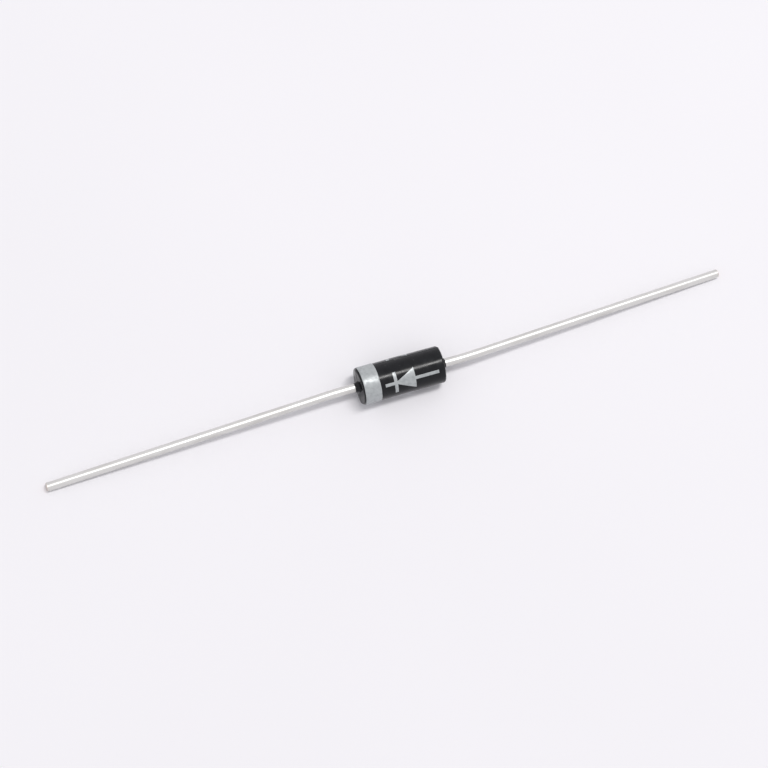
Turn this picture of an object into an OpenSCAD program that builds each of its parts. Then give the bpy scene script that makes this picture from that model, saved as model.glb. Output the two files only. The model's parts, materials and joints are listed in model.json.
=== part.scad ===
// Axial-lead plastic rectifier diode, laid on a surface on its body and the
// tips of its two leads. The body's axis runs along X, the cathode is at -X, Z
// is up and the surface is Z = 0. The origin is below the middle of the whole
// part. Millimetres.

/* [Body] */
// Length of the moulded body between its end faces
body_len = 7.0; // [6:0.1:9]
// Diameter of the moulded body
body_d = 3.0; // [2.7:0.1:3.4]
// Rounding of the body's two rims
rim_r = 0.15; // [0.1:0.01:0.25]
// Draft of the end faces away from the mould's parting plane, in degrees
end_draft = 3; // [1:0.5:5]
// Turn of the parting plane about the body's axis, in degrees
case_roll = 40; // [20:1:60]

/* [Print] */
// Width of the cathode band
band_w = 1.35; // [1:0.05:1.8]
// Bare rim between the cathode's end face and the band
band_inset = 0.17; // [0.15:0.01:0.3]
// Thickness of the printed ink
ink = 0.03; // [0.02:0.005:0.04]
// Number of polarity symbols round the body
mark_count = 3; // [1:1:3]
// Width of a polarity symbol across the body
mark_w = 1.7; // [1.2:0.1:1.8]
// Stroke of a polarity symbol
mark_stroke = 0.26; // [0.2:0.02:0.34]
// Turn of the symbols about the body's axis, in degrees
mark_roll = 34; // [0:1:60]

/* [Leads] */
// Diameter of the lead wire
wire_d = 0.7; // [0.6:0.05:0.8]
// Length of each lead outside the body, along the wire
lead_len = 25.4; // [22.5:0.1:30]
// Angle by which the anode lead is bent off the body's axis, in degrees
anode_bend = 4.6; // [3:0.1:10]
// Angle by which the cathode lead is bent off the body's axis, in degrees
cathode_bend = 3.4; // [3:0.1:10]
// Radius of those bends, at the middle of the wire
bend_r = 25; // [5:1:40]
// Straight wire between the body and the bend
lead_root = 1.2; // [0.8:0.1:2]
// Chamfer of the cut tips
tip_chamfer = 0.06; // [0.03:0.01:0.1]

/* [Junction] */
// Side of the square silicon chip
chip_w = 1.25; // [1:0.05:1.25]
// Thickness of the silicon chip
chip_t = 0.28; // [0.2:0.02:0.3]
// Thickness of each solder layer
solder_t = 0.08; // [0.05:0.01:0.1]
// Diameter of the nail heads of the leads
head_d = 1.8; // [1.8:0.05:1.9]
// Thickness of the nail heads
head_t = 0.35; // [0.25:0.05:0.4]
// Height of the cone under each nail head
neck_h = 0.25; // [0.15:0.05:0.4]
// Thickness of the silicone coating over the chip's edge
coat_t = 0.22; // [0.15:0.01:0.25]

/* [Hidden] */
$fn = 96;

body_r = body_d / 2;
half_len = body_len / 2;
wire_r = wire_d / 2;
head_r = head_d / 2;
print_r = body_r + ink;

// The band stands proud of the body, so it is what meets the surface.
axis_z = print_r;

// The mould's flash line, and the scar where the gate was broken off.
flash_w = 0.08;
flash_h = 0.02;
gate_len = 0.8;
gate_w = 0.26;
gate_h = 0.04;

// Moulding compound that crept out along the wire.
collar_len = 0.3;
collar_base_r = wire_r + 0.17;
collar_tip_r = wire_r + 0.03;
collar_sink = 0.1;

// The symbol runs from just past the band to near the anode's end.
mark_start = -half_len + band_inset + band_w + 0.35;
mark_end = half_len - 0.65;
bar_x = mark_start + 0.75;
base_x = bar_x + mark_stroke + 0.88 * mark_w;

// Faces of the stack, counted from the middle of the chip.
solder_x = chip_t / 2;
head_x = solder_x + solder_t;
neck_x = head_x + head_t;
neck_r = (wire_r + head_r) / 2;
solder_r = 0.48 * chip_w;

// The coating bulges as an arc that just covers the heads' backs.
coat_edge = 0.03;
coat_rise = coat_t - coat_edge;
coat_r = (neck_x * neck_x + coat_rise * coat_rise) / (2 * coat_rise);

// A lead leaves straight, bends once and runs straight to its tip. The bend's
// plane is rolled down about X by just as much as puts the tip on the surface.
bend_x = half_len + lead_root;
function straight_len(bend) = lead_len - lead_root - bend_r * bend * PI / 180;
function tip_offset(bend) = bend_r * (1 - cos(bend))
                          + (straight_len(bend) - tip_chamfer) * sin(bend);
function tip_reach(bend) = bend_r * sin(bend) + straight_len(bend) * cos(bend);
function bend_roll(bend) = asin((axis_z - wire_r) / tip_offset(bend));
function tip_side(bend) = tip_offset(bend) * cos(bend_roll(bend));

// The leads are bent unequally, so the body is off the middle of the part.
body_x = (tip_reach(cathode_bend) - tip_reach(anode_bend)) / 2;
body_y = (tip_side(cathode_bend) - tip_side(anode_bend)) / 2;

// The wire is drawn a little thinner round the bend, and the thin wire starts
// and ends inside the full wire on either side.
bend_thin = 0.01;
bend_lap = 0.12;
lap_angle = bend_lap / bend_r * 180 / PI;

module along_x() {
  rotate([0, 90, 0]) children();
}

module on_axis() {
  translate([body_x, body_y, axis_z]) children();
}

// Round bar on the X axis from x0 to x1, tapering from r0 to r1.
module bar(x0, x1, r0, r1) {
  translate([x0, 0, 0]) along_x() cylinder(h = x1 - x0, r1 = r0, r2 = r1);
}

module facing_cathode() {
  rotate([0, 0, 180]) children();
}

// Half section of the body, grown all round by grow.
module case_section(grow) {
  r = body_r + grow;
  h = half_len + grow;
  e = rim_r + grow;
  translate([0, -h + e]) square([r, 2 * (h - e)]);
  translate([0, -h]) square([r - e, 2 * h]);
  for (s = [-1, 1])
    translate([r - e, s * (h - e)]) circle(e);
}

// The body turned from its section, with its end faces drafted both ways from
// the parting plane, which is the XY plane here.
module case_form(grow) {
  lean = (body_r + 1) * tan(end_draft);
  h = half_len + grow;
  intersection() {
    along_x() rotate_extrude() case_section(grow);
    rotate([90, 0, 0])
      linear_extrude(height = 4 * body_r, center = true)
        polygon([
          [-h, 0], [-h + lean, -body_r - 1], [h - lean, -body_r - 1],
          [h, 0], [h - lean, body_r + 1], [-h + lean, body_r + 1]
        ]);
  }
}

module flash_line() {
  intersection() {
    case_form(flash_h);
    cube([2 * body_len, 2 * body_d, flash_w], center = true);
  }
}

module gate_scar() {
  translate([0, (body_r + gate_h) / 2, 0])
    cube([gate_len, body_r + gate_h, gate_w], center = true);
}

module collar() {
  bar(half_len - collar_sink, half_len + collar_len, collar_base_r, collar_tip_r);
}

// Everything that the moulding compound makes, before the stack is taken out.
module case_outside() {
  rotate([case_roll, 0, 0]) {
    case_form(0);
    flash_line();
    gate_scar();
  }
  collar();
  facing_cathode() collar();
}

// The straight end of a lead that the body holds, with its nail head.
module lead_inside() {
  bar(head_x, neck_x, head_r, head_r);
  bar(neck_x, neck_x + neck_h, neck_r, wire_r);
  bar(neck_x, bend_x, wire_r, wire_r);
}

// The straight run of wire from the bend, with its chamfered tip, up from Z = 0.
module wire_run(length) {
  barrel = length - tip_chamfer;
  cylinder(h = barrel, r = wire_r);
  translate([0, 0, barrel])
    cylinder(h = tip_chamfer, r1 = wire_r, r2 = wire_r - tip_chamfer);
}

module lead(bend) {
  lead_inside();
  rotate([-bend_roll(bend), 0, 0]) translate([bend_x, bend_r, 0]) rotate([0, 0, -90]) {
    rotate([0, 0, -lap_angle]) rotate_extrude(angle = bend + 2 * lap_angle)
      translate([bend_r, 0]) circle(wire_r - bend_thin);
    rotate([0, 0, bend]) translate([bend_r, 0, 0]) rotate([-90, 0, 0])
      wire_run(straight_len(bend));
  }
}

module chip() {
  cube([chip_t, chip_w, chip_w], center = true);
}

module solder() {
  bar(solder_x, head_x, solder_r, solder_r);
}

// Outer form of the coating, solid through to the axis.
module coating_form() {
  along_x() rotate_extrude() intersection() {
    translate([head_r + coat_t - coat_r, 0]) circle(coat_r);
    translate([0, -neck_x]) square([head_r + coat_t, 2 * neck_x]);
  }
}

// Diode symbol in plan: a line, the bar, the triangle and a line.
module symbol() {
  half_w = mark_w / 2;
  translate([mark_start, -mark_stroke / 2]) square([bar_x - mark_start, mark_stroke]);
  translate([bar_x, -half_w]) square([mark_stroke, mark_w]);
  polygon([[bar_x, 0], [base_x, half_w], [base_x, -half_w]]);
  translate([base_x, -mark_stroke / 2]) square([mark_end - base_x, mark_stroke]);
}

// Thin shell of ink over the body, from x0 to x1.
module ink_shell(x0, x1) {
  difference() {
    bar(x0, x1, print_r, print_r);
    bar(x0 - 1, x1 + 1, body_r, body_r);
    rotate([case_roll, 0, 0]) {
      flash_line();
      gate_scar();
    }
  }
}

module moulded_body() {
  color("#1b1b1e") on_axis() difference() {
    case_outside();
    coating_form();
    lead_inside();
    facing_cathode() lead_inside();
  }
}

module cathode_band() {
  start = -half_len + band_inset;
  color("#c6cac8") on_axis() ink_shell(start, start + band_w);
}

module polarity_mark() {
  color("#c6cac8") on_axis() intersection() {
    ink_shell(mark_start, mark_end);
    for (i = [0 : mark_count - 1])
      rotate([mark_roll + i * 360 / mark_count, 0, 0])
        linear_extrude(height = body_d) symbol();
  }
}

module anode_lead() {
  color("#c9c6be") on_axis() lead(anode_bend);
}

module cathode_lead() {
  color("#c9c6be") on_axis() facing_cathode() lead(cathode_bend);
}

module silicon_chip() {
  color("#525a66") on_axis() chip();
}

module anode_solder() {
  color("#9d9d9a") on_axis() solder();
}

module cathode_solder() {
  color("#9d9d9a") on_axis() facing_cathode() solder();
}

module junction_coating() {
  color("#e6e3da") on_axis() difference() {
    coating_form();
    chip();
    for (turn = [0, 180]) rotate([0, 0, turn]) {
      solder();
      lead_inside();
    }
  }
}

moulded_body();
cathode_band();
polarity_mark();
anode_lead();
cathode_lead();
silicon_chip();
anode_solder();
cathode_solder();
junction_coating();
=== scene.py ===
"""Looks of an axial rectifier diode: moulded case, printed band and polarity symbols, tinned leads.

The case, the ink and the leads are modelled anew at full detail over their plain solids, whose places and
sizes come from the frame. The junction inside keeps its solids and gets its own materials. Lengths in the
classes are millimetres, and every mesh is made in the frame's metres.
"""

import json
import logging
import math
import random
from dataclasses import dataclass, field
from enum import Enum

import bmesh
import bpy
from mathutils import Matrix, Vector
from mathutils.geometry import delaunay_2d_cdt

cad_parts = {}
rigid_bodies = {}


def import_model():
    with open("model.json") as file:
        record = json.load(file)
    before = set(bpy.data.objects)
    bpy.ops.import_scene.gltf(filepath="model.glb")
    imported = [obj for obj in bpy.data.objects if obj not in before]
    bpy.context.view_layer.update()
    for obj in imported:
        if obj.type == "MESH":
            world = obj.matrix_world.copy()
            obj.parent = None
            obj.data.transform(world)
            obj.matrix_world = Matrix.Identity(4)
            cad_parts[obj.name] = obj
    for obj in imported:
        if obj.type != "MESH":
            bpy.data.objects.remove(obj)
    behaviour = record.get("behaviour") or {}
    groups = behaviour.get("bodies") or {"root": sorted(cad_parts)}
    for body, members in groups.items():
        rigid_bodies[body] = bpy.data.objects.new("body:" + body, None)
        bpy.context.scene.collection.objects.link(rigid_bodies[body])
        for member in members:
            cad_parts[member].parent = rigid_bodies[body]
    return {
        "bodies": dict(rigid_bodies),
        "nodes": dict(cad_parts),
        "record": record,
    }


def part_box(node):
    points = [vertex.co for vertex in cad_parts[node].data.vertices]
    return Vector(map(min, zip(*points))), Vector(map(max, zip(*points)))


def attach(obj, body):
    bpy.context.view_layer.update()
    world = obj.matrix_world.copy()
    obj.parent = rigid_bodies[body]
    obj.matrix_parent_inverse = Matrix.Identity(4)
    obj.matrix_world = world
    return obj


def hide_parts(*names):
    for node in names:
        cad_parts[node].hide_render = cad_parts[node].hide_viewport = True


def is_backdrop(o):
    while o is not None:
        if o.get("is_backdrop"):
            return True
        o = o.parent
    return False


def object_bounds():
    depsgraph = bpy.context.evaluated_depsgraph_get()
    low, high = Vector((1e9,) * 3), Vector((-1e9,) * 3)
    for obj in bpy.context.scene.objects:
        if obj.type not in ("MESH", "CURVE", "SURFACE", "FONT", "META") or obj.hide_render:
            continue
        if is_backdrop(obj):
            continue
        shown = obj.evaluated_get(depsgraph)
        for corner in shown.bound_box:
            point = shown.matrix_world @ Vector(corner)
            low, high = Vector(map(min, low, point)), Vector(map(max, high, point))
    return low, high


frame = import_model()

MM = 0.001
BODY = "root"
log = logging.getLogger("diode")

# What a node's input takes: another node's output or a plain value.
Feed = bpy.types.NodeSocket | float | tuple


class Slot(Enum):
    """Material slots of the record."""

    EPOXY = "black_epoxy"
    INK = "silver_ink"
    WIRE = "tinned_wire"
    SILICON = "silicon"
    SOLDER = "solder"
    SILICONE = "white_silicone"


class End(Enum):
    """Which end of the diode a lead is on, by its mount and its node."""

    ANODE = "anode"
    CATHODE = "cathode"


# ---------------------------------------------------------------- node helpers


class NodeSheet:
    """A node tree with short calls that add nodes and join them."""

    def __init__(self, tree: bpy.types.NodeTree) -> None:
        """Takes the tree to draw on.

        Args:
            tree: a shader or geometry node tree.
        """
        self.tree = tree

    def add(self, kind: str, inputs: dict | None = None, **settings: object) -> bpy.types.Node:
        """Adds one node and sets it up.

        Args:
            kind: the node's type name.
            inputs: values or output sockets for its inputs, by name or by index.
            settings: properties of the node itself.

        Returns:
            The new node.
        """
        node = self.tree.nodes.new(kind)
        for name, value in settings.items():
            setattr(node, name, value)
        for key, value in (inputs or {}).items():
            if isinstance(value, bpy.types.NodeSocket):
                self.tree.links.new(value, node.inputs[key])
            else:
                node.inputs[key].default_value = value
        return node

    def math(self, operation: str, *values: Feed) -> bpy.types.NodeSocket:
        """Adds a Math node.

        Args:
            operation: the node's operation.
            values: numbers or output sockets for its inputs.

        Returns:
            The node's output socket.
        """
        return self.add("ShaderNodeMath", dict(enumerate(values)), operation=operation).outputs[0]

    def noise(
        self, vector: Feed, scale: float, detail: float = 2.0, roughness: float = 0.5
    ) -> bpy.types.NodeSocket:
        """Adds a Noise Texture.

        Args:
            vector: output socket with the coordinates.
            scale: spots per unit of those coordinates.
            detail: octaves of finer spots.
            roughness: weight of the finer spots.

        Returns:
            The node's grey output socket.
        """
        values = {"Vector": vector, "Scale": scale, "Detail": detail, "Roughness": roughness}
        return self.add("ShaderNodeTexNoise", values).outputs[0]

    def ramp(
        self, value: Feed, low: float, high: float, out_low: float = 0.0, out_high: float = 1.0
    ) -> bpy.types.NodeSocket:
        """Adds a clamped Map Range node.

        Args:
            value: output socket with the number to map.
            low: number that comes out as out_low.
            high: number that comes out as out_high.
            out_low: result at low.
            out_high: result at high.

        Returns:
            The node's output socket.
        """
        values = {0: value, 1: low, 2: high, 3: out_low, 4: out_high}
        return self.add("ShaderNodeMapRange", values).outputs[0]

    def blend(self, factor: Feed, first: Feed, second: Feed) -> bpy.types.NodeSocket:
        """Mixes two colours.

        Args:
            factor: output socket or number, 0 for the first colour and 1 for the second.
            first: colour or output socket.
            second: colour or output socket.

        Returns:
            The mixed colour's output socket.
        """
        node = self.add("ShaderNodeMix", {0: factor}, data_type="RGBA")
        for index, value in ((6, first), (7, second)):
            if isinstance(value, bpy.types.NodeSocket):
                self.tree.links.new(value, node.inputs[index])
            else:
                node.inputs[index].default_value = (*value, 1.0)
        return node.outputs[2]


class EffectGroup:
    """A shader node group that several materials share, built once."""

    name = ""
    inputs: tuple[tuple[str, str, float], ...] = ()
    outputs: tuple[str, ...] = ()

    @classmethod
    def tree(cls) -> bpy.types.NodeTree:
        """Gives the group's tree, made on the first call.

        Returns:
            The tree.
        """
        found = bpy.data.node_groups.get(cls.name)
        if found:
            return found
        made = bpy.data.node_groups.new(cls.name, "ShaderNodeTree")
        for name, kind, value in cls.inputs:
            socket = made.interface.new_socket(name, in_out="INPUT", socket_type=kind)
            if kind == "NodeSocketFloat":
                socket.default_value = value
        for name in cls.outputs:
            made.interface.new_socket(name, in_out="OUTPUT", socket_type="NodeSocketFloat")
        sheet = NodeSheet(made)
        source = sheet.add("NodeGroupInput").outputs
        target = sheet.add("NodeGroupOutput").inputs
        for name, socket in cls.draw(sheet, source).items():
            made.links.new(socket, target[name])
        return made

    @classmethod
    def draw(cls, sheet: NodeSheet, source: bpy.types.NodeOutputs) -> dict[str, bpy.types.NodeSocket]:
        """Draws the inside of the group.

        Args:
            sheet: the group's tree.
            source: the outputs of its Group Input node.

        Returns:
            An output socket for each name in outputs.
        """
        raise NotImplementedError

    @classmethod
    def place(cls, sheet: NodeSheet, **values: Feed) -> bpy.types.NodeOutputs:
        """Puts the group in a material.

        Args:
            sheet: the material's tree.
            values: numbers or output sockets for the inputs, with spaces in their names as underscores.

        Returns:
            The group node's outputs.
        """
        node = sheet.add("ShaderNodeGroup", node_tree=cls.tree())
        for key, value in values.items():
            socket = node.inputs[key.replace("_", " ")]
            if isinstance(value, bpy.types.NodeSocket):
                sheet.tree.links.new(value, socket)
            else:
                socket.default_value = value
        return node.outputs


class FineGrain(EffectGroup):
    """Grain of a moulded or cast surface: fine pits with a slower swell below them."""

    name = "Fine grain"
    inputs = (
        ("Vector", "NodeSocketVector", 0.0),
        ("Grain per mm", "NodeSocketFloat", 20.0),
        ("Swell", "NodeSocketFloat", 0.3),
    )
    outputs = ("Height", "Tone")

    @classmethod
    def draw(cls, sheet: NodeSheet, source: bpy.types.NodeOutputs) -> dict[str, bpy.types.NodeSocket]:
        """Adds fine noise and a share of slow noise.

        Args:
            sheet: the group's tree.
            source: the outputs of its Group Input node.

        Returns:
            The height, and the slow noise alone as a tone.
        """
        fine = sheet.noise(source["Vector"], 1.0, 3.0, 0.6)
        sheet.tree.links.new(source["Grain per mm"], fine.node.inputs["Scale"])
        slow_scale = sheet.math("MULTIPLY", source["Grain per mm"], 0.12)
        slow = sheet.noise(source["Vector"], 1.0, 2.0)
        sheet.tree.links.new(slow_scale, slow.node.inputs["Scale"])
        swell = sheet.math("MULTIPLY", slow, source["Swell"])
        height = sheet.math("ADD", fine, swell)
        return {"Height": height, "Tone": slow}


class HandlingMarks(EffectGroup):
    """Faint rubs and dust specks that a loose part picks up among others."""

    name = "Handling marks"
    inputs = (
        ("Vector", "NodeSocketVector", 0.0),
        ("Rubs", "NodeSocketFloat", 0.5),
        ("Specks", "NodeSocketFloat", 0.5),
    )
    outputs = ("Rub", "Speck")

    @classmethod
    def draw(cls, sheet: NodeSheet, source: bpy.types.NodeOutputs) -> dict[str, bpy.types.NodeSocket]:
        """Stretches noise into rubs and cuts specks out of cells.

        Args:
            sheet: the group's tree.
            source: the outputs of its Group Input node.

        Returns:
            A mask of the rubs and a mask of the specks.
        """
        drawn_out = {"Vector": source["Vector"], "Rotation": (0.2, 0.5, 0.9), "Scale": (1.2, 9.0, 7.0)}
        stretched = sheet.add("ShaderNodeMapping", drawn_out).outputs[0]
        streak = sheet.ramp(sheet.noise(stretched, 1.3, 4.0, 0.65), 0.6, 0.74)
        patch = sheet.ramp(sheet.noise(source["Vector"], 0.55, 1.0), 0.45, 0.65)
        rub = sheet.math("MULTIPLY", sheet.math("MULTIPLY", streak, patch), source["Rubs"])
        scattered = {"Vector": source["Vector"], "Scale": 3.6, "Randomness": 1.0}
        cells = sheet.add("ShaderNodeTexVoronoi", scattered)
        dot = sheet.ramp(cells.outputs["Distance"], 0.1, 0.05)
        few = sheet.ramp(sheet.noise(source["Vector"], 2.1, 0.0), 0.56, 0.6)
        speck = sheet.math("MULTIPLY", sheet.math("MULTIPLY", dot, few), source["Specks"])
        return {"Rub": rub, "Speck": speck}


# -------------------------------------------------------------------- finishes


@dataclass(frozen=True)
class Finish:
    """A surface finish. Each kind draws its own material."""

    name: str
    centre: Vector

    def start(self) -> tuple[bpy.types.Material, NodeSheet, bpy.types.NodeSocket]:
        """Makes an empty material.

        Returns:
            The material, its sheet with only a Principled BSDF and an output, and the object coordinates
            in millimetres from the middle of the body.
        """
        material = bpy.data.materials.new(self.name)
        material.use_nodes = True
        sheet = NodeSheet(material.node_tree)
        place = sheet.add("ShaderNodeTexCoord").outputs["Object"]
        scale = 1 / MM
        shift = {"Vector": place, "Scale": (scale,) * 3, "Location": tuple(-self.centre * scale)}
        return material, sheet, sheet.add("ShaderNodeMapping", shift).outputs[0]

    @staticmethod
    def shader(material: bpy.types.Material) -> bpy.types.NodeInputs:
        """Returns the inputs of the material's Principled BSDF."""
        return material.node_tree.nodes["Principled BSDF"].inputs

    @staticmethod
    def emboss(sheet: NodeSheet, height: Feed, depth: float, normal: bpy.types.NodeSocket) -> None:
        """Feeds a height to a normal socket through a Bump node.

        Args:
            sheet: the material's tree.
            height: output socket with heights from 0 to 1.
            depth: height of 1, in millimetres.
            normal: the shader's normal socket.
        """
        bump = sheet.add("ShaderNodeBump", {"Height": height, "Distance": depth * MM, "Strength": 1.0})
        sheet.tree.links.new(bump.outputs[0], normal)


@dataclass(frozen=True)
class BlackEpoxy(Finish):
    """Filled black moulding compound: fine grain, a faint grey bloom and a few handling marks."""

    dark: tuple[float, float, float] = (0.0035, 0.004, 0.0055)
    bloom: tuple[float, float, float] = (0.0075, 0.0085, 0.0105)
    dust: tuple[float, float, float] = (0.16, 0.16, 0.155)
    roughness: float = 0.2
    specular: float = 0.25
    grain_depth: float = 0.0007

    def build(self) -> bpy.types.Material:
        """Draws the material.

        Returns:
            The material.
        """
        material, sheet, place = self.start()
        grain = FineGrain.place(sheet, Vector=place, Grain_per_mm=16.0, Swell=0.5)
        marks = HandlingMarks.place(sheet, Vector=place, Rubs=0.6, Specks=0.5)
        shader = self.shader(material)
        tone = sheet.ramp(grain["Tone"], 0.35, 0.7)
        base = sheet.blend(tone, self.dark, self.bloom)
        rubbed = sheet.blend(sheet.math("MULTIPLY", marks["Rub"], 0.18), base, self.dust)
        dusted = sheet.blend(marks["Speck"], rubbed, self.dust)
        sheet.tree.links.new(dusted, shader["Base Color"])
        uneven = sheet.ramp(grain["Tone"], 0.3, 0.75, self.roughness - 0.05, self.roughness + 0.08)
        rough = sheet.math("ADD", uneven, sheet.math("MULTIPLY", marks["Rub"], -0.1))
        sheet.tree.links.new(rough, shader["Roughness"])
        shader["Specular IOR Level"].default_value = self.specular
        self.emboss(sheet, grain["Height"], self.grain_depth, shader["Normal"])
        return material


@dataclass(frozen=True)
class SilverInk(Finish):
    """Silver-grey printing ink: mottled where it was rolled on thin, with pinholes and a satin flake."""

    full: tuple[float, float, float] = (0.45, 0.475, 0.48)
    thin: tuple[float, float, float] = (0.28, 0.3, 0.31)
    bare: tuple[float, float, float] = (0.03, 0.032, 0.034)
    metallic: float = 0.3
    roughness: float = 0.36
    depth: float = 0.0016

    def build(self) -> bpy.types.Material:
        """Draws the material.

        Returns:
            The material.
        """
        material, sheet, place = self.start()
        grain = FineGrain.place(sheet, Vector=place, Grain_per_mm=22.0, Swell=0.8)
        marks = HandlingMarks.place(sheet, Vector=place, Rubs=0.8, Specks=0.0)
        shader = self.shader(material)
        mottle = sheet.ramp(sheet.noise(place, 3.2, 3.0, 0.6), 0.42, 0.68)
        base = sheet.blend(sheet.math("MULTIPLY", mottle, 0.55), self.full, self.thin)
        holes = sheet.add("ShaderNodeTexVoronoi", {"Vector": place, "Scale": 4.4, "Randomness": 1.0})
        hole = sheet.ramp(holes.outputs["Distance"], 0.085, 0.045)
        some = sheet.ramp(sheet.noise(place, 1.7, 0.0), 0.54, 0.6)
        worn = sheet.math("MULTIPLY", marks["Rub"], 0.5)
        gap = sheet.math("MAXIMUM", sheet.math("MULTIPLY", hole, some), worn)
        sheet.tree.links.new(sheet.blend(gap, base, self.bare), shader["Base Color"])
        sheet.tree.links.new(sheet.ramp(gap, 0.0, 1.0, self.metallic, 0.0), shader["Metallic"])
        rough = sheet.ramp(mottle, 0.0, 1.0, self.roughness, self.roughness + 0.12)
        sheet.tree.links.new(rough, shader["Roughness"])
        self.emboss(sheet, grain["Height"], self.depth, shader["Normal"])
        return material


@dataclass(frozen=True)
class TinnedWire(Finish):
    """Bright tin plate on copper: lines along the wire from the die, dull patches, a copper cut face."""

    bright: tuple[float, float, float] = (0.7, 0.695, 0.675)
    dull: tuple[float, float, float] = (0.53, 0.52, 0.495)
    copper: tuple[float, float, float] = (0.6, 0.45, 0.36)
    roughness: float = 0.31
    line_depth: float = 0.0006

    def build(self) -> bpy.types.Material:
        """Draws the material, which follows the wire by its along, ring and cut attributes.

        Returns:
            The material.
        """
        material, sheet, place = self.start()
        along = sheet.add("ShaderNodeAttribute", attribute_name="along").outputs["Fac"]
        ring = sheet.add("ShaderNodeAttribute", attribute_name="ring").outputs["Vector"]
        cut = sheet.add("ShaderNodeAttribute", attribute_name="cut").outputs["Fac"]
        split = sheet.add("ShaderNodeSeparateXYZ", {0: ring}).outputs
        follow = sheet.add("ShaderNodeCombineXYZ", {0: split[0], 1: split[1], 2: along}).outputs[0]
        line_scale = {"Vector": follow, "Scale": (9.0, 9.0, 0.35 / MM)}
        stretch = sheet.add("ShaderNodeMapping", line_scale).outputs[0]
        lines = sheet.noise(stretch, 1.0, 4.0, 0.7)
        patch_scale = {"Vector": follow, "Scale": (0.7, 0.7, 0.5 / MM)}
        spread = sheet.add("ShaderNodeMapping", patch_scale).outputs[0]
        patch = sheet.ramp(sheet.noise(spread, 1.0, 2.0), 0.42, 0.66)
        marks = HandlingMarks.place(sheet, Vector=place, Rubs=0.8, Specks=0.6)
        shader = self.shader(material)
        tone = sheet.math("ADD", sheet.math("MULTIPLY", patch, 0.5), sheet.ramp(lines, 0.5, 0.8, 0.0, 0.35))
        marked = sheet.math("MAXIMUM", tone, marks["Speck"])
        tinned = sheet.blend(marked, self.bright, self.dull)
        sheared = sheet.math("MULTIPLY", cut, sheet.ramp(sheet.noise(place, 7.0, 2.0), 0.35, 0.6, 0.45, 1.0))
        sheet.tree.links.new(sheet.blend(sheared, tinned, self.copper), shader["Base Color"])
        uneven = sheet.ramp(patch, 0.0, 1.0, self.roughness, self.roughness + 0.14)
        rubbed = sheet.math("ADD", uneven, sheet.math("MULTIPLY", marks["Rub"], 0.12))
        rough = sheet.math("ADD", rubbed, sheet.math("MULTIPLY", cut, 0.2))
        sheet.tree.links.new(rough, shader["Roughness"])
        shader["Metallic"].default_value = 1.0
        self.emboss(sheet, lines, self.line_depth, shader["Normal"])
        return material


@dataclass(frozen=True)
class InnerFinish(Finish):
    """A plain cast or ground finish of a part inside the case, told apart by its values."""

    colour: tuple[float, float, float] = (0.5, 0.5, 0.5)
    shade: tuple[float, float, float] = (0.4, 0.4, 0.4)
    metallic: float = 0.0
    roughness: float = 0.4
    grain_per_mm: float = 20.0
    depth: float = 0.003

    def build(self) -> bpy.types.Material:
        """Draws the material.

        Returns:
            The material.
        """
        material, sheet, place = self.start()
        grain = FineGrain.place(sheet, Vector=place, Grain_per_mm=self.grain_per_mm, Swell=0.6)
        marks = HandlingMarks.place(sheet, Vector=place, Rubs=0.5, Specks=0.2)
        shader = self.shader(material)
        tone = sheet.math("MAXIMUM", sheet.ramp(grain["Tone"], 0.35, 0.7), marks["Rub"])
        sheet.tree.links.new(sheet.blend(tone, self.colour, self.shade), shader["Base Color"])
        rough = sheet.ramp(grain["Tone"], 0.3, 0.7, self.roughness, self.roughness + 0.12)
        sheet.tree.links.new(rough, shader["Roughness"])
        shader["Metallic"].default_value = self.metallic
        self.emboss(sheet, grain["Height"], self.depth, shader["Normal"])
        return material


@dataclass(frozen=True)
class PaleSheet(Finish):
    """The matt sheet that the diode lies on."""

    colour: tuple[float, float, float] = (0.935, 0.925, 0.955)
    shade: tuple[float, float, float] = (0.92, 0.91, 0.94)

    def build(self) -> bpy.types.Material:
        """Draws the material.

        Returns:
            The material.
        """
        material, sheet, place = self.start()
        shader = self.shader(material)
        cloud = sheet.ramp(sheet.noise(place, 0.02, 2.0), 0.35, 0.65)
        sheet.tree.links.new(sheet.blend(cloud, self.colour, self.shade), shader["Base Color"])
        shader["Roughness"].default_value = 0.8
        shader["Specular IOR Level"].default_value = 0.1
        return material


# ------------------------------------------------------------------ mesh tools


class Wobble:
    """A smooth uneven value round a circle or along a line, the same in each run."""

    def __init__(self, seed: int, waves: int = 9, rising: int = 1) -> None:
        """Draws the waves.

        Args:
            seed: fixes the waves.
            waves: how many are added up.
            rising: lowest number of whole waves to a turn.
        """
        draw = random.Random(seed)
        self.waves = [(rising + i, draw.uniform(0, math.tau), draw.uniform(0.4, 1.0)) for i in range(waves)]
        self.total = sum(weight for _, _, weight in self.waves)

    def at(self, turn: float) -> float:
        """Returns the value, from -1 to 1, at an angle in radians."""
        return sum(w * math.sin(n * turn + p) for n, p, w in self.waves) / self.total


@dataclass(frozen=True)
class Ring:
    """One ring of a turned surface, in millimetres: its place, its outward direction and what shapes it."""

    x: float
    r: float
    out_x: float = 0.0
    out_r: float = 1.0
    lean: float = 0.0
    skin: bool = False
    ragged: float = 0.0


def make_mesh(name: str, verts: list[Vector], faces: list[tuple[int, ...]]) -> bpy.types.Mesh:
    """Makes a mesh whose faces point outwards.

    Args:
        name: the mesh's name.
        verts: its points, in metres.
        faces: its faces, as loops of point numbers that all turn the same way.

    Returns:
        The mesh, with smooth faces and sharp edges where it turns by more than 40 degrees.
    """
    mesh = bpy.data.meshes.new(name)
    mesh.from_pydata(verts, [], faces)
    turn_outwards(mesh)
    return mesh


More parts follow.
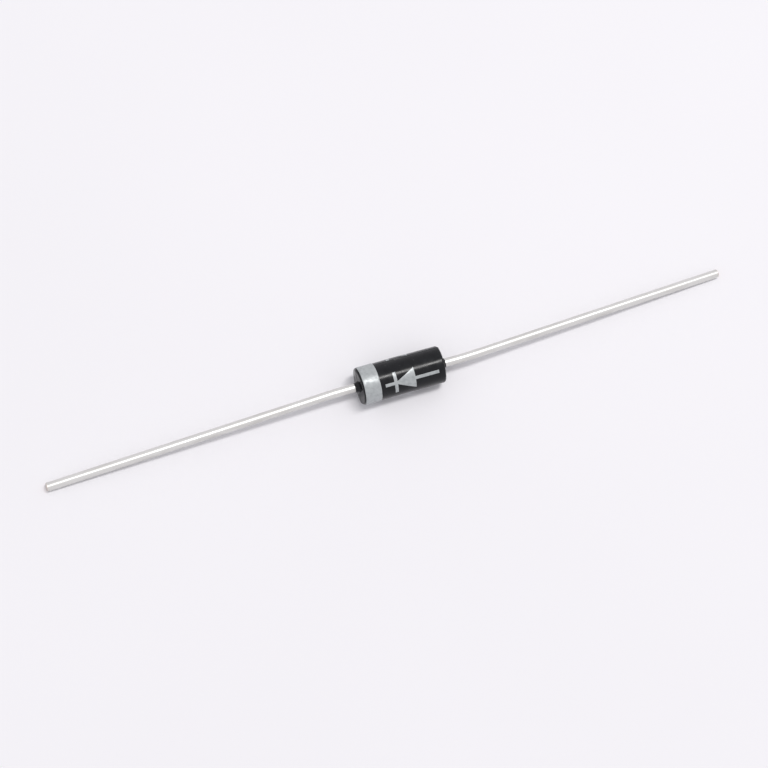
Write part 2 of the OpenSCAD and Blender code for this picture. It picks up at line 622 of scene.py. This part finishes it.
def turn_outwards(mesh: bpy.types.Mesh, sharp: float = 40.0) -> None:
    """Makes a closed mesh's faces point outwards, and shades it.

    Args:
        mesh: the mesh to change.
        sharp: turn between two faces, in degrees, above which their edge is sharp.
    """
    work = bmesh.new()
    work.from_mesh(mesh)
    if work.calc_volume(signed=True) < 0:
        bmesh.ops.reverse_faces(work, faces=work.faces)
    work.to_mesh(mesh)
    work.free()
    mesh.polygons.foreach_set("use_smooth", [True] * len(mesh.polygons))
    mesh.set_sharp_from_angle(angle=math.radians(sharp))
    mesh.update()


def add_object(
    name: str, mesh: bpy.types.Mesh, material: bpy.types.Material | None = None
) -> bpy.types.Object:
    """Puts a mesh into the scene as an object at the origin.

    Args:
        name: the object's name.
        mesh: its mesh.
        material: the one material it wears, if it is known yet.

    Returns:
        The new object.
    """
    mesh.name = name
    if material:
        mesh.materials.clear()
        mesh.materials.append(material)
    made = bpy.data.objects.new(name, mesh)
    bpy.context.scene.collection.objects.link(made)
    return made


def settle(made: bpy.types.Object, tree: bpy.types.NodeTree, **values: object) -> None:
    """Runs a geometry tree on an object and keeps its result as the object's own plain mesh.

    Args:
        made: the object to change.
        tree: the geometry tree.
        values: the tree's inputs, with spaces in their names as underscores.
    """
    modifier = made.modifiers.new(tree.name, "NODES")
    modifier.node_group = tree
    sockets = {item.name: item.identifier for item in tree.interface.items_tree if item.in_out == "INPUT"}
    for key, value in values.items():
        modifier[sockets[key.replace("_", " ")]] = value
    graph = bpy.context.evaluated_depsgraph_get()
    result = bpy.data.meshes.new_from_object(made.evaluated_get(graph), depsgraph=graph)
    made.modifiers.clear()
    old = made.data
    made.data = result
    bpy.data.meshes.remove(old)
    result.name = made.name
    turn_outwards(result)


def adopt(made: bpy.types.Object, slot: Slot, *nodes: str) -> None:
    """Hands a finished piece to the frame.

    Args:
        made: the piece.
        slot: the record's material slot of the piece; not used.
        nodes: the solids that it stands for.
    """
    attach(made, BODY)
    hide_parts(*nodes)
    log.info("%s: %d faces, for %s", made.name, len(made.data.polygons), ", ".join(nodes))


# ---------------------------------------------------------------- measurements


@dataclass(frozen=True)
class Datum:
    """Where the frame puts the diode, in millimetres from the middle of its body."""

    middle: Vector
    print_r: float
    band: tuple[float, float]
    mark: tuple[float, float]
    case_end: float
    head_x: float
    neck_x: float
    coating_r: float

    @classmethod
    def measured(cls) -> "Datum":
        """Reads the places from the solids' boxes.

        Returns:
            The places.
        """
        low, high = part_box("silicon_chip")
        middle = (low + high) / 2
        band = [(corner - middle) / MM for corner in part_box("cathode_band")]
        mark = [(corner - middle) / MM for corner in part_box("polarity_mark")]
        case = [(corner - middle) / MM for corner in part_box("moulded_body")]
        coating = [(corner - middle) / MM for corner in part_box("junction_coating")]
        return cls(
            middle=middle,
            print_r=(band[1].z - band[0].z) / 2,
            band=(band[0].x, band[1].x),
            mark=(mark[0].x, mark[1].x),
            case_end=case[1].x,
            head_x=(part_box("anode_solder")[1].x - middle.x) / MM,
            neck_x=coating[1].x,
            coating_r=(coating[1].z - coating[0].z) / 2,
        )

    def place(self, point: Vector) -> Vector:
        """Returns a point of the body's own millimetres in the frame's metres."""
        return self.middle + point * MM


# ------------------------------------------------------------------- the case


@dataclass
class MouldedCase:
    """The moulded body with its flash line, gate scar and flash collars, hollow where the stack sits."""

    datum: Datum
    finish: Finish
    ink: float = 0.03
    rim_r: float = 0.15
    draft: float = 3.0
    roll: float = 40.0
    collar_len: float = 0.3
    collar_base: float = 0.17
    collar_tip: float = 0.03
    flash_w: float = 0.1
    flash_h: float = 0.02
    gate: tuple[float, float, float] = (0.8, 0.26, 0.04)
    wire_r: float = 0.35
    neck_r: float = 0.625
    neck_h: float = 0.25
    coat_edge_r: float = 0.93
    turns: int = 144
    flash_wave: Wobble = field(default_factory=lambda: Wobble(11, 16, 3))
    collar_wave: Wobble = field(default_factory=lambda: Wobble(23, 8, 2))

    @property
    def radius(self) -> float:
        """Returns the moulded radius, under the ink."""
        return self.datum.print_r - self.ink

    @property
    def half(self) -> float:
        """Returns half of the length between the end faces."""
        return self.datum.case_end - self.collar_len

    def angles(self) -> list[float]:
        """Spaces the section planes, closer together at the two parting lines.

        Returns:
            Their angles, in radians.
        """
        step = math.tau / self.turns
        even = {round(i * step, 6) for i in range(self.turns)}
        edge = self.flash_w / 2 / self.radius
        parts = (-1.3, -1, -0.6, -0.3, 0.3, 0.6, 1, 1.3)
        close = {side + part * edge for side in (0.0, math.pi) for part in parts}
        return sorted(even | {round(a % math.tau, 6) for a in close})

    def outer_rings(self) -> list[Ring]:
        """Lists one half's outside, from the middle of the body to the collar's tip.

        Returns:
            Its rings, in order.
        """
        flat, rim = self.half - self.rim_r, self.rim_r
        rings = [Ring(flat * i / 14, self.radius, lean=0.0, skin=True) for i in range(13)]
        rings.append(Ring(flat, self.radius, lean=1.0, skin=True))
        for i in range(1, 9):
            turn = math.radians(90 * i / 8)
            rings.append(Ring(
                flat + rim * math.sin(turn), self.radius - rim + rim * math.cos(turn),
                math.sin(turn), math.cos(turn), 1.0, True,
            ))
        base_r, start = self.wire_r + self.collar_base, self.radius - rim
        for i in range(1, 7):
            radius = start + (base_r - start) * i / 6
            rings.append(Ring(self.half, radius, 1.0, 0.0, 1.0, i < 6, 1.0 * (i == 6)))
        tip_r = self.wire_r + self.collar_tip
        for part, fall in ((0.35, 0.62), (0.7, 0.9), (1.0, 1.0)):
            r = base_r + (tip_r - base_r) * fall
            rings.append(Ring(self.half + self.collar_len * part, r, lean=0.0, ragged=1 - 0.5 * part))
        return rings

    def inner_rings(self) -> list[Ring]:
        """Lists one half's inside, from the collar's tip to the middle of the cavity.

        Returns:
            Its rings, in order.
        """
        neck_x, edge_r = self.datum.neck_x, self.coat_edge_r
        rise = self.datum.coating_r - edge_r
        bulge = (neck_x ** 2 + rise ** 2) / (2 * rise)
        rings = [Ring(self.datum.case_end, self.wire_r), Ring(self.half - 0.4, self.wire_r)]
        rings += [Ring(neck_x + self.neck_h, self.wire_r), Ring(neck_x, self.neck_r), Ring(neck_x, edge_r)]
        for i in range(1, 7):
            x = neck_x * (1 - i / 6)
            rings.append(Ring(x, self.datum.coating_r - bulge + math.sqrt(bulge ** 2 - x ** 2)))
        return rings

    def flash(self, ring: Ring, angle: float) -> float:
        """Works out how far the flash stands out of the skin.

        Args:
            ring: the ring on the skin.
            angle: angle round the body, in radians, from the parting plane.

        Returns:
            The height, in millimetres.
        """
        off = abs(ring.r * math.sin(angle)) / (self.flash_w / 2)
        side = 1.0 if math.cos(angle) > 0 else 2.0
        ragged = 0.72 + 0.28 * self.flash_wave.at(ring.x * 0.9 + side)
        return self.flash_h * ragged * max(0.0, 1 - off ** 2)

    def point(self, ring: Ring, way: float, angle: float) -> Vector:
        """Places one point of the case in the frame.

        Args:
            ring: the ring it is on.
            way: 1 for the anode's half and -1 for the cathode's.
            angle: angle round the body, in radians, from the parting plane.

        Returns:
            The point.
        """
        x, r = ring.x, ring.r
        if ring.skin:
            stand = self.flash(ring, angle)
            x, r = x + ring.out_x * stand, r + ring.out_r * stand
        if ring.ragged:
            r += 0.035 * ring.ragged * self.collar_wave.at(angle + way)
        x -= ring.lean * abs(ring.r * math.sin(angle)) * math.tan(math.radians(self.draft))
        turned = angle + math.radians(self.roll)
        return self.datum.place(Vector((way * x, r * math.cos(turned), r * math.sin(turned))))

    def gate_scar(self, verts: list[Vector], faces: list[tuple[int, ...]]) -> None:
        """Adds the broken stub of the gate, which sits on the parting line.

        Args:
            verts: the mesh's points so far, which grow.
            faces: the mesh's faces so far, which grow.
        """
        long, wide, high = self.gate
        across, down = 14, 6
        break_wave, first = Wobble(37, 12, 2), len(verts)
        turn = Matrix.Rotation(math.radians(self.roll), 3, "X")
        for level in (-0.06, high):
            for i in range(across + 1):
                for j in range(down + 1):
                    u, v = i / across - 0.5, j / down - 0.5
                    inset = 0.0 if level < 0 else 0.06 * (abs(2 * u) ** 8 + abs(2 * v) ** 8)
                    torn = break_wave.at(9 * u + 5 * v) * 0.4 + break_wave.at(17 * v - 7 * u) * 0.3
                    top = level if level < 0 else high * (0.62 + 0.38 * torn) * (1 - 0.45 * (abs(2 * v) ** 6))
                    spot = Vector((u * (long - inset), self.radius + top, v * (wide - inset)))
                    verts.append(self.datum.place(turn @ spot))
        row, layer = down + 1, (across + 1) * (down + 1)

        def at(i: int, j: int, k: int) -> int:
            """Returns the number of a grid point."""
            return first + k * layer + i * row + j

        for i in range(across):
            for j in range(down):
                faces.append((at(i, j, 1), at(i, j + 1, 1), at(i + 1, j + 1, 1), at(i + 1, j, 1)))
                faces.append((at(i, j, 0), at(i + 1, j, 0), at(i + 1, j + 1, 0), at(i, j + 1, 0)))
        for i in range(across):
            faces.append((at(i, 0, 0), at(i, 0, 1), at(i + 1, 0, 1), at(i + 1, 0, 0)))
            faces.append((at(i, down, 0), at(i + 1, down, 0), at(i + 1, down, 1), at(i, down, 1)))
        for j in range(down):
            faces.append((at(0, j, 0), at(0, j + 1, 0), at(0, j + 1, 1), at(0, j, 1)))
            faces.append((at(across, j, 0), at(across, j, 1), at(across, j + 1, 1), at(across, j + 1, 0)))

    def build(self) -> bpy.types.Object:
        """Makes the case and hands it to the frame.

        Returns:
            The case's object.
        """
        half = self.outer_rings() + self.inner_rings()
        loop = [(ring, 1.0) for ring in half[:-1]]
        loop += [(ring, -1.0) for ring in reversed(half[1:])]
        angles = self.angles()
        verts = [self.point(ring, way, a) for ring, way in loop for a in angles]
        rings, count = len(loop), len(angles)
        faces = [
            (i * count + j, i * count + (j + 1) % count,
             (i + 1) % rings * count + (j + 1) % count, (i + 1) % rings * count + j)
            for i in range(rings) for j in range(count)
        ]
        case = make_mesh("case", verts, faces)
        scar_verts, scar_faces = [], []
        self.gate_scar(scar_verts, scar_faces)
        scar = make_mesh("scar", scar_verts, scar_faces)
        work = bmesh.new()
        work.from_mesh(case)
        work.from_mesh(scar)
        work.to_mesh(case)
        work.free()
        bpy.data.meshes.remove(scar)
        made = add_object("moulded_case", case, self.finish.build())
        adopt(made, Slot.EPOXY, "moulded_body")
        return made


# --------------------------------------------------------------------- the ink


@dataclass
class CathodeBand:
    """The printed band: a thin ring of ink with soft, slightly uneven edges."""

    datum: Datum
    case: MouldedCase
    material: bpy.types.Material
    edge: float = 0.05
    uneven: float = 0.018
    sunk: float = 0.006
    steps: int = 12

    def build(self) -> bpy.types.Object:
        """Makes the band and hands it to the frame.

        Returns:
            The band's object.
        """
        start, end = self.datum.band
        waves = (Wobble(5, 14, 2), Wobble(6, 14, 2))
        low, high = self.case.radius - self.sunk, self.datum.print_r
        middle = low + 0.5 * (high - low)
        section = [(0.0, low), (0.0, middle), (0.3 * self.edge, high - 0.006), (self.edge, high)]
        inner = end - start - 2 * self.edge
        section += [(self.edge + inner * i / self.steps, high) for i in range(1, self.steps)]
        section += [(end - start - d, r) for d, r in reversed(section[:4])]
        section += [((end - start) * (1 - i / 4), low) for i in range(1, 4)]
        verts, angles = [], self.case.angles()
        for angle in angles:
            turned = angle + math.radians(self.case.roll)
            shifts = [self.uneven * (0.5 + 0.5 * wave.at(angle)) for wave in waves]
            for along, r in section:
                part = along / (end - start)
                x = start + along + shifts[0] * (1 - part) - shifts[1] * part
                if r > low:
                    r += 0.55 * self.case.flash(Ring(x, r), angle)
                point = Vector((x, r * math.cos(turned), r * math.sin(turned)))
                verts.append(self.datum.place(point))
        count, rows = len(section), len(angles)
        faces = [
            (i * count + j, i * count + (j + 1) % count,
             (i + 1) % rows * count + (j + 1) % count, (i + 1) % rows * count + j)
            for i in range(rows) for j in range(count)
        ]
        made = add_object("band_print", make_mesh("band", verts, faces), self.material)
        adopt(made, Slot.INK, "cathode_band")
        return made


@dataclass
class PolaritySymbols:
    """Diode symbols printed round the case: one is drawn on it, and a geometry tree repeats it."""

    datum: Datum
    case: MouldedCase
    material: bpy.types.Material
    count: int = 3
    roll: float = 34.0
    width: float = 1.7
    stroke: float = 0.26
    lead_in: float = 0.75
    flare: float = 0.88
    cell: float = 0.085
    uneven: float = 0.012
    sunk: float = 0.006

    def outline(self) -> list[Vector]:
        """Draws the symbol in plan, with the bar towards the cathode and slightly uneven edges.

        Returns:
            The outline's points, in order.
        """
        start, end = self.datum.mark
        half, thin = self.width / 2, self.stroke / 2
        bar = start + self.lead_in
        base = bar + self.stroke + self.flare * self.width
        apex = half * self.stroke / (base - bar)
        side = [(start, thin), (bar, thin), (bar, half), (bar + self.stroke, half), (bar + self.stroke, apex)]
        side += [(base, half), (base, thin), (end, thin)]
        corners = [Vector(p) for p in side] + [Vector((x, -y)) for x, y in reversed(side)]
        wave, points = Wobble(41, 24, 5), []
        for a, b in zip(corners, corners[1:] + corners[:1]):
            pieces = max(2, round((b - a).length / self.cell))
            across = Vector((b.y - a.y, a.x - b.x)).normalized()
            for i in range(pieces):
                spot = a.lerp(b, i / pieces)
                ends = 1.0 if i else 0.0
                points.append(spot + across * self.uneven * ends * wave.at(3 * spot.x + 2 * spot.y))
        return points

    def symbol(self) -> bpy.types.Mesh:
        """Makes one symbol as a thin shell on top of the case.

        Returns:
            Its mesh, in metres about the body's axis.
        """
        edge = self.outline()
        (start, end), half = self.datum.mark, self.width / 2
        grid = []
        for i in range(1, math.ceil((end - start) / self.cell)):
            for j in range(-10, 11):
                grid.append(Vector((start + i * self.cell, j * half / 10.5)))
        clear = [g for g in grid if min((g - e).length for e in edge) > 0.5 * self.cell]
        flat, _, tris, *_ = delaunay_2d_cdt(edge + clear, [], [list(range(len(edge)))], 1, 1e-6)
        borders: dict[tuple[int, int], int] = {}
        for tri in tris:
            for a, b in zip(tri, tri[1:] + tri[:1]):
                borders[(a, b)] = borders.get((a, b), 0) + 1
        rim = [(a, b) for a, b in borders if (b, a) not in borders]
        on_rim = {a for pair in rim for a in pair}
        low, high = self.case.radius - self.sunk, self.datum.print_r
        verts = []
        for level in (high, low):
            for i, spot in enumerate(flat):
                r = level - 0.009 if level == high and i in on_rim else level
                turn = math.asin(spot.y / high)
                verts.append(Vector((spot.x, r * math.sin(turn), r * math.cos(turn))) * MM)
        below = len(flat)
        faces = [tuple(t) for t in tris] + [tuple(i + below for i in reversed(t)) for t in tris]
        faces += [(b, a, a + below, b + below) for a, b in rim]
        return make_mesh("symbol", verts, faces)

    @staticmethod
    def repeat_tree() -> bpy.types.NodeTree:
        """Makes the geometry tree that repeats a mesh round an axis along X.

        Returns:
            The tree.
        """
        tree = bpy.data.node_groups.new("Repeat round the axis", "GeometryNodeTree")
        tree.interface.new_socket("Geometry", in_out="INPUT", socket_type="NodeSocketGeometry")
        tree.interface.new_socket("Count", in_out="INPUT", socket_type="NodeSocketInt")
        tree.interface.new_socket("Roll", in_out="INPUT", socket_type="NodeSocketFloat")
        tree.interface.new_socket("Axis", in_out="INPUT", socket_type="NodeSocketVector")
        tree.interface.new_socket("Finish", in_out="INPUT", socket_type="NodeSocketMaterial")
        tree.interface.new_socket("Geometry", in_out="OUTPUT", socket_type="NodeSocketGeometry")
        sheet = NodeSheet(tree)
        given = sheet.add("NodeGroupInput").outputs
        line = {"Count": given["Count"], "Start Location": given["Axis"], "Offset": (0.0, 0.0, 0.0)}
        spots = sheet.add("GeometryNodeMeshLine", line).outputs[0]
        step = sheet.math("DIVIDE", math.tau, given["Count"])
        index = sheet.add("GeometryNodeInputIndex").outputs[0]
        turn = sheet.math("ADD", sheet.math("MULTIPLY", step, index), given["Roll"])
        euler = sheet.add("ShaderNodeCombineXYZ", {0: turn}).outputs[0]
        rotation = sheet.add("FunctionNodeEulerToRotation", {0: euler}).outputs[0]
        copies = {"Points": spots, "Instance": given["Geometry"], "Rotation": rotation}
        placed = sheet.add("GeometryNodeInstanceOnPoints", copies).outputs[0]
        real = sheet.add("GeometryNodeRealizeInstances", {0: placed})
        dress = {"Geometry": real.outputs[0], "Material": given["Finish"]}
        dressed = sheet.add("GeometryNodeSetMaterial", dress)
        sheet.add("NodeGroupOutput", {0: dressed.outputs[0]})
        return tree

    def build(self) -> bpy.types.Object:
        """Makes the symbols and hands them to the frame.

        Returns:
            The symbols' object.
        """
        made = add_object("symbol_prints", self.symbol())
        settle(
            made, self.repeat_tree(),
            Count=self.count, Roll=math.radians(self.roll), Axis=self.datum.middle, Finish=self.material,
        )
        adopt(made, Slot.INK, "polarity_mark")
        return made


# ------------------------------------------------------------------- the leads


@dataclass
class WireLead:
    """A lead from its nail head on the chip to its cut tip, swept along its route by a geometry tree."""

    datum: Datum
    end: End
    material: bpy.types.Material
    head_r: float = 0.9
    head_t: float = 0.35
    neck_r: float = 0.625
    neck_h: float = 0.25
    bend_r: float = 25.0
    chamfer: float = 0.06
    step: float = 0.002
    around: int = 40

    def mount(self) -> tuple[Vector, Vector, float, float]:
        """Reads the lead's mount.

        Returns:
            The straight run's middle, direction, half length and radius, in the body's millimetres.
        """
        mounts = {m["name"]: m for m in frame["record"]["mounts"]}
        found = mounts[f"{self.end.value}_pin"]
        middle = (Vector(found["pos_m"]) - self.datum.middle) / MM
        sizes = found["dims"]
        return middle, Vector(found["axis"]).normalized(), sizes["length_mm"] / 2, sizes["r_mm"]

    def route(self) -> list[tuple[Vector, float, float]]:
        """Lays out the wire's middle line.

        Returns:
            Its points, each with the wire's radius and how bare its copper is.
        """
        middle, heading, half, wire_r = self.mount()
        out = Vector((1.0 if heading.x > 0 else -1.0, 0.0, 0.0))
        bend = heading.angle(out)
        run_start, run_end = middle - heading * half, middle + heading * half
        reach = self.bend_r * math.tan(bend / 2)
        root_end = run_start - (heading + out) * reach
        centre = root_end + (heading - out * math.cos(bend)).normalized() * self.bend_r
        neck_x = self.datum.head_x + self.head_t
        route = [(out * self.datum.head_x, self.head_r, 0.0), (out * (neck_x - self.step), self.head_r, 0.0)]
        route += [(out * neck_x, self.neck_r, 0.0), (out * (neck_x + self.neck_h), wire_r, 0.0)]
        route += [(out * (neck_x + self.neck_h + 0.3 * i), wire_r, 0.0) for i in range(1, 5)]
        plane = (root_end - centre).cross(heading).normalized()
        for i in range(13):
            turn = Matrix.Rotation(bend * i / 12, 3, plane)
            route.append((centre + turn @ (root_end - centre), wire_r, 0.0))
        route += [(run_start.lerp(run_end, i / 24), wire_r, 0.0) for i in range(1, 24)]
        route.append((run_end - heading * 0.12, wire_r, 0.0))
        route.append((run_end, wire_r, 0.25))
        route.append((run_end + heading * self.chamfer, wire_r - self.chamfer, 1.0))
        return route

    @staticmethod
    def sweep_tree() -> bpy.types.NodeTree:
        """Makes the geometry tree that sweeps a round section along a chain of edges.

        Returns:
            The tree.
        """
        found = bpy.data.node_groups.get("Swept wire")
        if found:
            return found
        tree = bpy.data.node_groups.new("Swept wire", "GeometryNodeTree")
        tree.interface.new_socket("Geometry", in_out="INPUT", socket_type="NodeSocketGeometry")
        tree.interface.new_socket("Sides", in_out="INPUT", socket_type="NodeSocketInt")
        tree.interface.new_socket("Finish", in_out="INPUT", socket_type="NodeSocketMaterial")
        tree.interface.new_socket("Geometry", in_out="OUTPUT", socket_type="NodeSocketGeometry")
        sheet = NodeSheet(tree)
        given = sheet.add("NodeGroupInput").outputs
        path = sheet.add("GeometryNodeMeshToCurve", {"Mesh": given["Geometry"]}).outputs[0]
        length = sheet.add("GeometryNodeSplineParameter").outputs["Length"]
        along = {"Geometry": path, "Name": "along", "Value": length}
        measured = sheet.add("GeometryNodeStoreNamedAttribute", along)
        circle = sheet.add("GeometryNodeCurvePrimitiveCircle", {"Resolution": given["Sides"], "Radius": 1.0})
        spot = sheet.add("GeometryNodeInputPosition").outputs[0]
        section = sheet.add("GeometryNodeStoreNamedAttribute", data_type="FLOAT_VECTOR")
        tree.links.new(circle.outputs[0], section.inputs["Geometry"])
        section.inputs["Name"].default_value = "ring"
        tree.links.new(spot, section.inputs["Value"])
        radius = sheet.add("GeometryNodeInputNamedAttribute", {"Name": "section"}).outputs[0]
        sweep = {
            "Curve": measured.outputs[0], "Profile Curve": section.outputs[0],
            "Scale": radius, "Fill Caps": True,
        }
        swept = sheet.add("GeometryNodeCurveToMesh", sweep).outputs[0]
        real = sheet.add("GeometryNodeRealizeInstances", {0: swept}).outputs[0]
        dressed = sheet.add("GeometryNodeSetMaterial", {"Geometry": real, "Material": given["Finish"]})
        sheet.add("NodeGroupOutput", {0: dressed.outputs[0]})
        return tree

    def build(self) -> bpy.types.Object:
        """Makes the lead and hands it to the frame.

        Returns:
            The lead's object.
        """
        route = self.route()
        mesh = bpy.data.meshes.new("route")
        chain = [(i, i + 1) for i in range(len(route) - 1)]
        mesh.from_pydata([self.datum.place(p) for p, _, _ in route], chain, [])
        for name, values in (("section", [r * MM for _, r, _ in route]), ("cut", [c for _, _, c in route])):
            mesh.attributes.new(name, "FLOAT", "POINT").data.foreach_set("value", values)
        made = add_object(f"{self.end.value}_wire", mesh)
        settle(made, self.sweep_tree(), Sides=self.around, Finish=self.material)
        adopt(made, Slot.WIRE, f"{self.end.value}_lead")
        return made


# ---------------------------------------------------------------- the junction


@dataclass
class Junction:
    """The stack inside the case, whose solids stay as they are and are only dressed."""

    datum: Datum

    def finishes(self) -> dict[Slot, Finish]:
        """Lists the finish of each inner material.

        Returns:
            The finishes, by slot.
        """
        middle = self.datum.middle
        return {
            Slot.SILICON: InnerFinish(
                "silicon", middle, (0.16, 0.175, 0.2), (0.1, 0.11, 0.13), 0.75, 0.16, 35.0, 0.0006
            ),
            Slot.SOLDER: InnerFinish(
                "solder", middle, (0.56, 0.56, 0.55), (0.38, 0.38, 0.375), 1.0, 0.38, 12.0, 0.004
            ),
            Slot.SILICONE: InnerFinish(
                "white silicone", middle, (0.8, 0.78, 0.73), (0.7, 0.68, 0.62), 0.0, 0.55, 7.0, 0.005
            ),
        }

    def build(self) -> None:
        """Dresses the inner solids."""
        worn_by = {
            Slot.SILICON: ("silicon_chip",),
            Slot.SOLDER: ("anode_solder", "cathode_solder"),
            Slot.SILICONE: ("junction_coating",),
        }
        for slot, finish in self.finishes().items():
            material = finish.build()
            for node in worn_by[slot]:
                solid = frame["nodes"][node]
                solid.data.materials.clear()
                solid.data.materials.append(material)
                log.info("%s: dressed in %s", node, material.name)


# ------------------------------------------------------------------ the studio


@dataclass
class Studio:
    """The pale sheet, the overhead light, the room's light and the camera."""

    datum: Datum
    sheet_size: float = 6.0
    room_colour: tuple[float, float, float] = (0.935, 0.925, 0.955)
    room_light: float = 0.62
    lamp_height: float = 0.5
    lamp_size: tuple[float, float] = (0.07, 0.24)
    lamp_share: float = 0.46
    lamp_place: tuple[float, float] = (0.1, 0.03)
    tilt_along: float = 12.0
    tilt_across: float = 14.0
    slope: float = 15.6
    lens: float = 85.0
    frame_width: float = 61.0
    off_centre: tuple[float, float] = (-1.2, -0.8)

    def lay_sheet(self) -> None:
        """Lays the sheet under the diode."""
        half = self.sheet_size / 2
        corners = [Vector((x * half, y * half, 0.0)) for x, y in ((-1, -1), (1, -1), (1, 1), (-1, 1))]
        mesh = bpy.data.meshes.new("pale_sheet")
        mesh.from_pydata(corners, [], [(0, 1, 2, 3)])
        add_object("pale_sheet", mesh, PaleSheet("pale sheet", Vector((0, 0, 0))).build())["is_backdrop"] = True

    def light(self) -> None:
        """Hangs one soft lamp overhead and fills the room with even light."""
        lamp = bpy.data.lights.new("overhead", "AREA")
        lamp.shape = "RECTANGLE"
        lamp.size, lamp.size_y = self.lamp_size
        lamp.energy = self.lamp_share * math.pi ** 2 * self.lamp_height ** 2
        lamp.color = (1.0, 0.99, 0.975)
        made = bpy.data.objects.new("overhead", lamp)
        bpy.context.scene.collection.objects.link(made)
        made.location = Vector((*self.lamp_place, self.lamp_height))
        made.rotation_euler = (-made.location).to_track_quat("-Z", "Y").to_euler()
        world = bpy.data.worlds.new("room")
        bpy.context.scene.world = world
        world.use_nodes = True
        sheet = NodeSheet(world.node_tree)
        ground = world.node_tree.nodes["Background"]
        ground.inputs["Color"].default_value = (*self.room_colour, 1.0)
        rays = sheet.add("ShaderNodeLightPath").outputs
        seen = sheet.math("MAXIMUM", rays["Is Camera Ray"], rays["Is Glossy Ray"])
        seen = sheet.math("MAXIMUM", seen, rays["Is Transmission Ray"])
        strength = sheet.ramp(seen, 0.0, 1.0, self.room_light, 1.0)
        world.node_tree.links.new(strength, ground.inputs["Strength"])

    def aim(self) -> None:
        """Sets the camera over the diode, with the cathode's end face turned a little towards it."""
        along, across = math.radians(self.tilt_along), math.radians(self.tilt_across)
        depth = math.cos(along)
        back = Vector((-math.sin(along), -depth * math.sin(across), depth * math.cos(across)))
        level = (Vector((1, 0, 0)) - back * back.x).normalized()
        upward = back.cross(level)
        slope = math.radians(self.slope)
        right = level * math.cos(slope) - upward * math.sin(slope)
        up = level * math.sin(slope) + upward * math.cos(slope)
        data = bpy.data.cameras.new("camera")
        data.lens = self.lens
        data.clip_start, data.clip_end = 0.01, 20.0
        camera = bpy.data.objects.new("camera", data)
        bpy.context.scene.collection.objects.link(camera)
        low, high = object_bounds()
        distance = self.frame_width * MM / data.sensor_width * self.lens
        turn = Matrix((right, up, back)).transposed().to_4x4()
        aside = (right * self.off_centre[0] + up * self.off_centre[1]) * MM
        camera.matrix_world = Matrix.Translation((low + high) / 2 + aside + back * distance) @ turn
        bpy.context.scene.camera = camera

    def build(self) -> None:
        """Sets up the whole studio."""
        self.lay_sheet()
        self.light()
        self.aim()
        settings = bpy.context.scene.view_settings
        settings.view_transform = "Standard"
        log.info("studio: one lamp, camera %.0f mm", self.lens)


# ------------------------------------------------------------------------ main


def clear_start() -> None:
    """Removes what a new file already holds beside the frame."""
    kept = set(frame["nodes"].values()) | set(frame["bodies"].values())
    for item in list(bpy.data.objects):
        if item not in kept:
            bpy.data.objects.remove(item)


def main() -> None:
    """Builds the diode's pieces in order, then the studio."""
    logging.basicConfig(level=logging.INFO, format="%(message)s")
    clear_start()
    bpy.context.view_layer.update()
    datum = Datum.measured()
    ink = SilverInk("silver ink", datum.middle).build()
    tin = TinnedWire("tinned wire", datum.middle).build()
    case = MouldedCase(datum, BlackEpoxy("black epoxy", datum.middle))
    case.build()
    CathodeBand(datum, case, ink).build()
    PolaritySymbols(datum, case, ink).build()
    for end in End:
        WireLead(datum, end, tin).build()
    Junction(datum).build()
    Studio(datum).build()


if __name__ == "__main__":
    main()
